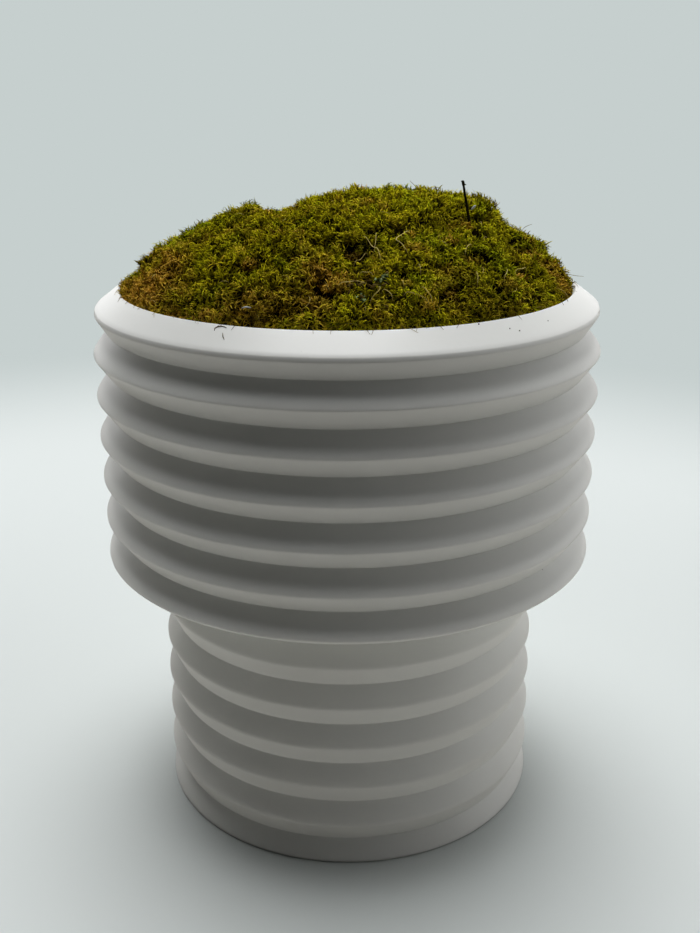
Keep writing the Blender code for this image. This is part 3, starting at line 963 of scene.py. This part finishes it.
def curled_leaves(tufts, per, width, rng):
    """The leaves of the tufts, so many for each: flat strips that taper to a point and curl over.

    A leaf starts at share a of the tuft's radius s along its own direction d and bends in an arc of angle f
    towards a direction e across d: p(t) = middle + a s d + (l / f) (sin(f t) d + (1 - cos(f t)) e).
    """
    count = len(tufts["size"]) * per
    tuft = np.repeat(np.arange(len(tufts["size"])), per)
    normal = tufts["normal"][tuft]
    cosine = 1 - rng.uniform(0, 1, count) * (1 - math.cos(math.radians(LEAF_FAN)))
    turn = rng.uniform(0, 2 * math.pi, count)
    side = unit(np.cross(normal, SIDE_GUIDE))
    other = np.cross(normal, side)
    sine = np.sqrt(1 - cosine ** 2)
    along = normal * cosine[:, None] + side * (sine * np.cos(turn))[:, None]
    along = along + other * (sine * np.sin(turn))[:, None]
    curl = tufts["sweep"][tuft] * LEAF_SWEEP + rng.normal(0, LEAF_CURL, (count, 3)) + normal * LEAF_OUTWARD
    curl = unit(curl - along * (curl * along).sum(1, keepdims=True))
    across = unit(np.cross(along, curl) + rng.normal(0, LEAF_TWIST, (count, 3)))
    size = tufts["size"][tuft]
    start = size * rng.uniform(*LEAF_STARTS, count)
    bend = np.radians(rng.uniform(*LEAF_BENDS, count))
    length = size * rng.uniform(*LEAF_LENGTHS, count)
    wide = width * rng.uniform(*LEAF_WIDTHS, count)
    points = []
    places = []
    for t, share in zip(LEAF_PLACES, LEAF_SHARES):
        reach = (start + length * np.sin(bend * t) / bend)[:, None]
        sideways = (length * (1 - np.cos(bend * t)) / bend)[:, None]
        line = tufts["middle"][tuft] + along * reach + curl * sideways
        half = across * (0.5 * wide * share)[:, None]
        points += [line - half, line + half] if share else [line]
        places += [t, t] if share else [t]
    points = np.stack(points, 1)
    r = np.hypot(points[..., 0], points[..., 1])
    over = np.maximum(points[..., 2], rim_height(r) + RIM_CLEARANCE)
    points[..., 2] = np.where(r > RIM_INNER_R - RIM_MARGIN, over, points[..., 2])
    first = (np.arange(count) * LEAF_POINTS)[:, None]
    quads = np.concatenate([first + np.array([0, 1, 3, 2]), first + np.array([2, 3, 5, 4])])
    triangles = first + np.array([4, 5, 6])
    tip = ROOT_TIP + (1 - ROOT_TIP) * np.array(places) ** TIP_POWER
    # Painted shade: leaves that lean away from the tuft's axis get a lower tip value, so a darker colour
    attributes = {"tip": tip * (PAINTED_SIDE_SHADE + (1 - PAINTED_SIDE_SHADE) * cosine[:, None])}
    shade = tufts["shade"][tuft] * np.clip(rng.normal(*LEAF_SHADES, count), *LEAF_SHADE_LIMITS)
    dry = tufts["dry"][tuft] + rng.normal(0, LEAF_DRY_SPREAD, count)
    fresh = tufts["fresh"][tuft] + rng.normal(0, LEAF_FRESH_SPREAD, count)
    for label, values in {"dry": dry, "fresh": fresh, "shade": np.minimum(shade, LEAF_BRIGHTEST)}.items():
        attributes[label] = np.maximum(values, 0)[:, None] * np.ones(LEAF_POINTS)
    return (points.reshape(-1, 3), quads, triangles), attributes


def lying_path(plan_points, tufts):
    """A strand on the heads of the tufts: a smooth curve in plan, over the highest, whose ends dip by t^6."""
    path = on_mound(along_curve(plan_points, STRAND_POINTS))
    near, _ = nearest_tuft(path, tufts)
    t = np.linspace(-1, 1, STRAND_POINTS)
    path[:, 2] += tufts["lift"][near].max() + STRAND_CLEARANCE - STRAND_DIP * t ** 6
    return path


def short_paths(tufts, count, rng):
    """Short strands across the heads of random tufts.

    Each is a bow p(t) = head + (l / 2) (t d + b t^2 e) + (1 - t^2) n.
    """
    pick = rng.choice(len(tufts["size"]), count, replace=False)
    normal = tufts["normal"][pick]
    head = tufts["middle"][pick] + normal * (tufts["size"][pick] - SHORT_SINK)[:, None]
    heading = unit(np.cross(normal, rng.normal(0, 1, (count, 3))))
    side = np.cross(normal, heading)
    t = np.linspace(-1, 1, SHORT_POINTS)[:, None]
    half = rng.uniform(*SHORT_LENGTHS, (count, 1, 1)) / 2
    bow = rng.uniform(-SHORT_BOW, SHORT_BOW, (count, 1, 1))
    across = half * (heading[:, None] * t + bow * side[:, None] * t ** 2)
    return head[:, None] + across + normal[:, None] * (1 - t ** 2)


def rim_fibres(count, rng):
    """Fibres from the moss over the rim: out by a reach times t and round by a swing times t^2.

    They stay close above the rim, on an arch of height 4 a t (1 - t).
    """
    t = np.linspace(0, 1, SHORT_POINTS)
    radius = RIM_INNER_R - FIBRE_START + rng.uniform(*FIBRE_REACH, (count, 1)) * t
    angle = rng.uniform(0, 2 * math.pi, (count, 1))
    angle = angle + rng.normal(0, FIBRE_SWING, (count, 1)) * t ** 2 / RIM_INNER_R
    rim = np.interp(radius, (RIM_INNER_R + RIM_LIP_R, RIM_SHOULDER[0]), (RIM_TOP, RIM_SHOULDER[1]))
    arch = rng.uniform(*FIBRE_ARCH, (count, 1)) * 4 * t * (1 - t)
    return np.stack([radius * np.cos(angle), radius * np.sin(angle), rim + RIM_CLEARANCE + arch], -1)


def bark_bits(count, tufts, rng):
    """Paths of bits of bark 1.5 to 4 mm long, strewn about one place on the heads of the tufts."""
    near = np.array(LITTER_MIDDLE) + rng.normal(0, 1, (count, 2)) * LITTER_SPREAD
    near *= np.minimum(1, (MOSS_R - LITTER_MARGIN) / np.hypot(*near.T))[:, None]
    head = on_mound(near)
    foot, _ = nearest_tuft(head, tufts)
    normal = tufts["normal"][foot]
    head[:, 2] = head[:, 2] + tufts["lift"][foot] + BIT_HEIGHT
    heading = unit(np.cross(normal, rng.normal(0, 1, (count, 3))))
    half = rng.uniform(*BIT_HALVES, (count, 1, 1))
    t = np.linspace(-1, 1, BIT_POINTS)[:, None]
    return head[:, None] + half * heading[:, None] * t + BIT_ARCH * normal[:, None] * (1 - t ** 2)


def rim_crumbs(rng):
    """Paths of the crumbs that lie on the rim, each a short straight line from its place."""
    starts = np.array(RIM_CRUMBS)
    ends = starts + rng.uniform(-CRUMB_REACH, CRUMB_REACH, starts.shape)
    paths = np.stack([starts + (ends - starts) * t for t in np.linspace(0, 1, CRUMB_POINTS)], 1)
    return on_rim(paths, CRUMB_HEIGHT)


def sprig_tufts(tufts):
    """Loose rosettes of grey-green leaves that sit on the moss."""
    middle = on_mound(np.array(SPRIGS))
    foot, _ = nearest_tuft(middle, tufts)
    own = chosen(tufts, foot)
    middle[:, 2] += own["lift"]
    own.update(size=np.full(len(middle), SPRIG_R), middle=middle)
    return own


def colour_setting(name, description, code):
    """A colour that the user can change, from its hex code."""
    return FloatVectorProperty(name=name, description=description, subtype="COLOR", min=0, max=1,
                               default=linear(code)[:3])


def length_setting(name, description, length, least):
    """A length that the user can change, in metres."""
    return FloatProperty(name=name, description=description, unit="LENGTH", default=length, min=least)


def share_setting(name, description, share, least=0):
    """A share of 1 that the user can change."""
    return FloatProperty(name=name, description=description, subtype="FACTOR", default=share, min=least, max=1)


def count_setting(name, description, count, least=1):
    """A number of things that the user can change."""
    return IntProperty(name=name, description=description, default=count, min=least)


class PotSettings(bpy.types.PropertyGroup):
    """Sizes and finish of the pot's surface."""

    corner: length_setting("Corner softness", "How far the glaze rounds the edges of the ribs", 0.0003,
                           0.0001)
    segments: count_setting("Segments", "Points round the pot", 160, 32)
    glaze: colour_setting("Glaze", "Colour of the glaze", "ECEEEB")
    glaze_warm: colour_setting("Thin glaze", "Colour where the glaze is thinner", "E6E7E3")
    glaze_roughness: share_setting("Roughness", "Roughness of the satin glaze", 0.38)


class MossSettings(bpy.types.PropertyGroup):
    """Sizes and colours of the moss."""

    seed: IntProperty(name="Seed", description="Start of the random numbers", default=4)
    tuft_size: length_setting("Tuft size", "Distance between the middles of two tufts", 0.0062, 0.003)
    core_share: share_setting("Core", "Radius of a tuft's dense core, as a share of the tuft's", 0.7, 0.1)
    leaves_per_tuft: count_setting("Leaves per tuft", "Leaves on each tuft", 96, 10)
    leaf_width: length_setting("Leaf width", "Width of a leaf at its middle", 0.00048, 0.0001)
    bed_rings: count_setting("Bed rings", "Rings of points in a cushion's bed", 56, 8)
    bed_columns: count_setting("Bed columns", "Points round a cushion's bed", 210, 24)
    # The root colour is near black: the lower leaves' brown, with painted shade deep in the tufts
    root: colour_setting("Root", "Colour of the leaves' roots", "120C03")
    olive_tip: colour_setting("Olive tip", "Colour of the usual tips", "DCD21C")
    green_tip: colour_setting("Green tip", "Colour of the fresh tips", "C4D21E")
    dry_tip: colour_setting("Dry tip", "Colour of the dry tips", "E6B44C")


class LitterSettings(bpy.types.PropertyGroup):
    """Sizes and colours of the twig, the strands and the litter."""

    seed: IntProperty(name="Seed", description="Start of the random numbers", default=11)
    twig_radius: length_setting("Twig radius", "Radius of the twig", 0.0006, 0.0002)
    strand_radius: length_setting("Strand radius", "Radius of the long dry strands", 0.00017, 0.00005)
    short_strands: count_setting("Short strands", "Number of short dry strands", 90, 0)
    rim_fibres: count_setting("Rim fibres", "Number of fibres that hang over the rim", 110, 0)
    bits: count_setting("Bits", "Number of bits of bark among the moss", 22)
    straw: colour_setting("Straw", "Colour of the dry strands", "DECB7C")
    bark: colour_setting("Bark", "Colour of the twig's bark", "2B2A16")
    lichen: colour_setting("Lichen", "Colour of the grey-green leaves' tips", "A6B680")


class StageSettings(bpy.types.PropertyGroup):
    """Floor, background and light."""

    floor: colour_setting("Floor", "Colour of the floor", "D3D9D8")
    floor_bounce: colour_setting("Floor's light", "Colour of the light that the floor gives to the object",
                                 "D4D2CC")
    background: colour_setting("Background", "Colour behind the floor", "C6CFCE")
    light: FloatProperty(name="Light", description="Strength of the soft lamp overhead", default=7.8, min=0)
    walls: FloatProperty(name="Walls", description="Strength of the light from the pale sides and back",
                         default=1.6, min=0)
    fill: FloatProperty(name="Fill", description="Strength of the light from the dark room in front",
                        default=0.025, min=0)
    bounce: share_setting("Bounce", "How much of its light the floor gives back to the object", 0.84)


class MakePot(bpy.types.Operator):
    """Make the pot's glazed surface"""

    bl_idname = "moss_clump.make_pot"
    bl_label = "Make Pot"

    def execute(self, context):
        settings = context.scene.moss_pot
        line = thinned(softened(pot_line(), settings.corner * MM_PER_M), PROFILE_POINTS)
        pot = add_piece("glazed_pot", turned(line, settings.segments), satin_glaze(settings))
        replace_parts(pot, "pot_upper_tier", "pot_lower_tier")
        return {"FINISHED"}


class MakeSoil(bpy.types.Operator):
    """Give the bed of soil its finish"""

    bl_idname = "moss_clump.make_soil"
    bl_label = "Finish Soil"

    def execute(self, context):
        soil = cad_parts["soil"]
        soil.data.materials.clear()
        soil.data.materials.append(potting_soil())
        return {"FINISHED"}


class MakeMoss(bpy.types.Operator):
    """Make the three cushions of moss: a bed for each, and its leaves in pieces of bounded size"""

    bl_idname = "moss_clump.make_moss"
    bl_label = "Make Moss"

    def execute(self, context):
        settings = context.scene.moss_moss
        material = moss_leaf(settings)
        tufts = make_tufts(settings)
        rng = np.random.default_rng(settings.seed + 10)
        width = settings.leaf_width * MM_PER_M
        for name, spec in CUSHIONS.items():
            node = f"moss_cushion_{name}"
            solid, attributes = moss_bed(spec, tufts, settings)
            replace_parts(add_piece(f"{name}_moss_bed", solid, material, attributes), node)
            own = chosen(tufts, inside(tufts["plan"], cushion_outline(spec)))
            count = len(own["size"])
            parts = math.ceil(count * settings.leaves_per_tuft * LEAF_TRIANGLES / PIECE_TRIANGLES)
            for i in range(parts):
                part = chosen(own, np.arange(count) % parts == i)
                solid, attributes = curled_leaves(part, settings.leaves_per_tuft, width, rng)
                label = f"{name}_moss_leaves_{i + 1}"
                leaves = add_piece(label, solid, material, attributes, smooth=False)
                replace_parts(leaves, node)
        return {"FINISHED"}


class MakeTwig(bpy.types.Operator):
    """Make the dark twig that stands in the moss, with a knob and two stubs at its top"""

    bl_idname = "moss_clump.make_twig"
    bl_label = "Make Twig"

    def execute(self, context):
        settings = context.scene.moss_litter
        radius = settings.twig_radius * MM_PER_M
        rng = np.random.default_rng(settings.seed)
        shares = np.interp(np.linspace(0, 1, TWIG_POINTS), *np.array(TWIG_SHARES).T)
        shares = shares * rng.uniform(*TWIG_ROUGHNESS, TWIG_POINTS)
        solids = [tubes(along_curve(TWIG_LINE, TWIG_POINTS)[None], shares[None] * radius, TWIG_SIDES)]
        for stub in TWIG_STUBS:
            thickness = np.linspace(*STUB_ENDS, STUB_POINTS)[None] * radius
            solids.append(tubes(along_curve(stub, STUB_POINTS)[None], thickness, STUB_SIDES))
        solid = joined(solids)
        tones = {"tone": np.full(len(solid[0]), DARK_TONE)}
        twig = add_piece("bark_twig", solid, dry_bark(settings), tones)
        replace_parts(twig, "twig")
        return {"FINISHED"}


class MakeStrands(bpy.types.Operator):
    """Make the dry grass strands that lie on the moss, short ones among them, and the hairs that stand out"""

    bl_idname = "moss_clump.make_strands"
    bl_label = "Make Strands"

    def execute(self, context):
        settings = context.scene.moss_litter
        radius = settings.strand_radius * MM_PER_M
        rng = np.random.default_rng(settings.seed + 1)
        tufts = make_tufts(context.scene.moss_moss)
        kinds = (
            np.stack([lying_path(strand, tufts) for strand in STRANDS]),
            short_paths(tufts, settings.short_strands, rng),
            np.stack([along_curve(hair, HAIR_POINTS) for hair in HAIRS]),
            rim_fibres(settings.rim_fibres, rng),
        )
        groups = []
        for paths, (share, low, high) in zip(kinds, STRAND_KINDS):
            thickness = radius * share * rng.uniform(*STRAND_THICKNESS, len(paths))
            groups.append((paths, thickness, STRAND_ENDS, STRAND_SIDES, rng.uniform(low, high, len(paths))))
        solid, attributes = tapered_tubes(groups)
        add_piece("dry_strands", solid, dry_grass(settings), attributes)
        return {"FINISHED"}


class MakeLitter(bpy.types.Operator):
    """Make the litter: bits of bark, crumbs on the rim, pale flakes and curled grey-green leaves"""

    bl_idname = "moss_clump.make_litter"
    bl_label = "Make Litter"

    def execute(self, context):
        settings = context.scene.moss_litter
        rng = np.random.default_rng(settings.seed + 2)
        tufts = make_tufts(context.scene.moss_moss)
        bits = bark_bits(settings.bits, tufts, rng)
        curls = np.stack([on_rim(along_curve(curl, HAIR_POINTS), CURL_RADIUS) for curl in RIM_CURLS])
        crumbs = rim_crumbs(rng)
        bit_radii = rng.uniform(*BIT_RADII, len(bits))
        crumb_radii = rng.uniform(*CRUMB_RADII, len(crumbs))
        solid, attributes = tapered_tubes((
            (bits, bit_radii, BIT_ENDS, BIT_SIDES, rng.uniform(*BIT_TONES, len(bits))),
            (curls, CURL_RADIUS, STRAND_ENDS, STRAND_SIDES, CURL_TONE),
            (crumbs, crumb_radii, STRAND_ENDS, STRAND_SIDES, DARK_TONE),
        ))
        add_piece("bark_litter", solid, dry_bark(settings), attributes)
        flakes = np.stack([along_curve(flake, FLAKE_POINTS) for flake in FLAKES])
        solid, _ = tapered_tubes(((flakes, FLAKE_RADII, BIT_ENDS, FLAKE_SIDES, 1.0),))
        add_piece("grit_flakes", solid, pale_grit())
        solid, attributes = curled_leaves(sprig_tufts(tufts), SPRIG_LEAVES, SPRIG_LEAF_WIDTH, rng)
        add_piece("lichen_leaves", solid, curled_lichen(settings), attributes, smooth=False)
        return {"FINISHED"}


def pale_paper(settings):
    """A paper floor that ends in a dark room in front, and fades into the background behind the object.

    The camera sees the paper, and the object gets the floor's own light, which fades towards the room.
    """
    material, tree, shader = new_material("pale_floor")
    path = add_node(tree, "ShaderNodeLightPath")
    place = add_node(tree, "ShaderNodeTexCoord").outputs["Object"]
    along = add_node(tree, "ShaderNodeSeparateXYZ", [place]).outputs["Y"]
    lit = add_node(tree, "ShaderNodeMapRange", [along, *FLOOR_LIT, FLOOR_DARK, settings.bounce], **SMOOTH)
    given = add_node(tree, "ShaderNodeVectorMath", {0: settings.floor_bounce, "Scale": lit},
                     operation="SCALE")
    # Painted light: the paper that the camera sees grows brighter towards the light at the back
    painted_light = add_node(tree, "ShaderNodeMapRange", [along, *FLOOR_PAINTED_LIGHT], **SMOOTH)
    paper = add_node(tree, "ShaderNodeVectorMath", {0: settings.floor, "Scale": painted_light}, operation="SCALE")
    seen = path.outputs["Is Camera Ray"]
    colour = add_node(tree, "ShaderNodeMix", {0: seen, MIX_A: given, MIX_B: paper}, data_type="RGBA")
    set_sockets(shader, {"Base Color": colour, "Roughness": 0.6, "Specular IOR Level": 0.2})
    distance = add_node(tree, "ShaderNodeVectorMath", [place, BACKDROP_MIDDLE], operation="DISTANCE")
    fade = add_node(tree, "ShaderNodeMapRange", [distance, *BACKDROP_FADE], **SMOOTH)
    both = add_node(tree, "ShaderNodeMath", [fade, seen], operation="MULTIPLY")
    far = add_node(tree, "ShaderNodeEmission", {"Color": (*settings.background, 1)})
    mixed = add_node(tree, "ShaderNodeMixShader", [both, shader, far])
    set_sockets(tree.nodes["Material Output"], {"Surface": mixed})
    return material


def soft_studio(settings):
    """A world with a soft lamp overhead and pale walls behind and beside the object.

    The walls are dimmer high up and on the right.
    """
    world = bpy.data.worlds.new("soft_studio")
    world.use_nodes = True
    tree = world.node_tree
    tree.nodes.clear()
    direction = add_node(tree, "ShaderNodeTexCoord").outputs["Generated"]
    split = add_node(tree, "ShaderNodeSeparateXYZ", [direction])
    toward, aside = (add_node(tree, "ShaderNodeVectorMath", [direction, middle], operation="DOT_PRODUCT")
                     for middle in (LAMP_DIRECTION, WALL_DIRECTION))
    lamp = add_node(tree, "ShaderNodeMapRange", [toward, *LAMP_RANGE, 0.0, settings.light], **SMOOTH)
    walls = add_node(tree, "ShaderNodeMapRange", [aside, *WALL_RANGE, settings.fill, settings.walls],
                     **SMOOTH)
    high = add_node(tree, "ShaderNodeMapRange", [split.outputs["Z"], *WALL_TOP], **SMOOTH)
    leftward = add_node(tree, "ShaderNodeMath", [split.outputs["X"], LEFT_GAIN, 1.0],
                        operation="MULTIPLY_ADD")
    sided = add_node(tree, "ShaderNodeMath", [walls, leftward], operation="MULTIPLY")
    total = add_node(tree, "ShaderNodeMath", [sided, high, lamp], operation="MULTIPLY_ADD")
    light = add_node(tree, "ShaderNodeBackground", [(1, 1, 1, 1), total])
    shown = add_node(tree, "ShaderNodeBackground", [(*settings.background, 1), 1.0])
    seen = add_node(tree, "ShaderNodeLightPath").outputs["Is Camera Ray"]
    mixed = add_node(tree, "ShaderNodeMixShader", [seen, light, shown])
    add_node(tree, "ShaderNodeOutputWorld", [mixed])
    return world


def photo_camera():
    """The camera at the photograph's viewing angle."""
    camera = bpy.data.objects.new("camera", bpy.data.cameras.new("camera"))
    camera.data.sensor_width = SENSOR
    camera.data.lens = SENSOR * FOCAL_PIXELS / IMAGE_LONG_SIDE
    camera.data.clip_start = CLIP_START
    turn = Euler((math.radians(90 - CAMERA_PITCH), 0, math.radians(CAMERA_TURN))).to_matrix().to_4x4()
    roll = Matrix.Rotation(math.radians(CAMERA_ROLL), 4, "Z")
    camera.matrix_world = Matrix.Translation(CAMERA_PLACE) @ turn @ roll
    return camera


class MakeStage(bpy.types.Operator):
    """Make the floor, the background, the light and the camera"""

    bl_idname = "moss_clump.make_stage"
    bl_label = "Make Stage"

    def execute(self, context):
        settings = context.scene.moss_stage
        mesh = bpy.data.meshes.new("floor")
        corners = [(x * FLOOR_HALF, y * FLOOR_HALF, 0) for x, y in ((-1, -1), (1, -1), (1, 1), (-1, 1))]
        mesh.from_pydata(corners, [], [(0, 1, 2, 3)])
        mesh.materials.append(pale_paper(settings))
        floor = bpy.data.objects.new("floor", mesh)
        context.scene.collection.objects.link(floor)
        context.scene.world = soft_studio(settings)
        context.scene.view_settings.view_transform = "Standard"
        context.scene.camera = photo_camera()
        context.scene.collection.objects.link(context.scene.camera)
        return {"FINISHED"}


class MossClumpPanel(bpy.types.Panel):
    """Lists the pieces of the moss clump"""

    bl_idname = "VIEW3D_PT_moss_clump"
    bl_label = "Moss Clump"
    bl_space_type = "VIEW_3D"
    bl_region_type = "UI"
    bl_category = "Moss Clump"

    def draw(self, context):
        for operator in OPERATORS:
            self.layout.operator(operator.bl_idname)
        for group in GROUPS:
            settings = getattr(context.scene, group)
            box = self.layout.box()
            for name in settings.bl_rna.properties.keys():
                if name not in ("rna_type", "name"):
                    box.prop(settings, name)


GROUPS = {"moss_pot": PotSettings, "moss_moss": MossSettings, "moss_litter": LitterSettings,
          "moss_stage": StageSettings}
OPERATORS = (MakeStage, MakePot, MakeSoil, MakeMoss, MakeTwig, MakeStrands, MakeLitter)


def register():
    for group, settings in GROUPS.items():
        bpy.utils.register_class(settings)
        setattr(bpy.types.Scene, group, PointerProperty(type=settings))
    for item in (*OPERATORS, MossClumpPanel):
        bpy.utils.register_class(item)


def unregister():
    for item in reversed((*OPERATORS, MossClumpPanel)):
        bpy.utils.unregister_class(item)
    for group, settings in GROUPS.items():
        delattr(bpy.types.Scene, group)
        bpy.utils.unregister_class(settings)


def main():
    register()
    for operator in OPERATORS:
        category, name = operator.bl_idname.split(".")
        getattr(getattr(bpy.ops, category), name)()


if __name__ == "__main__":
    main()
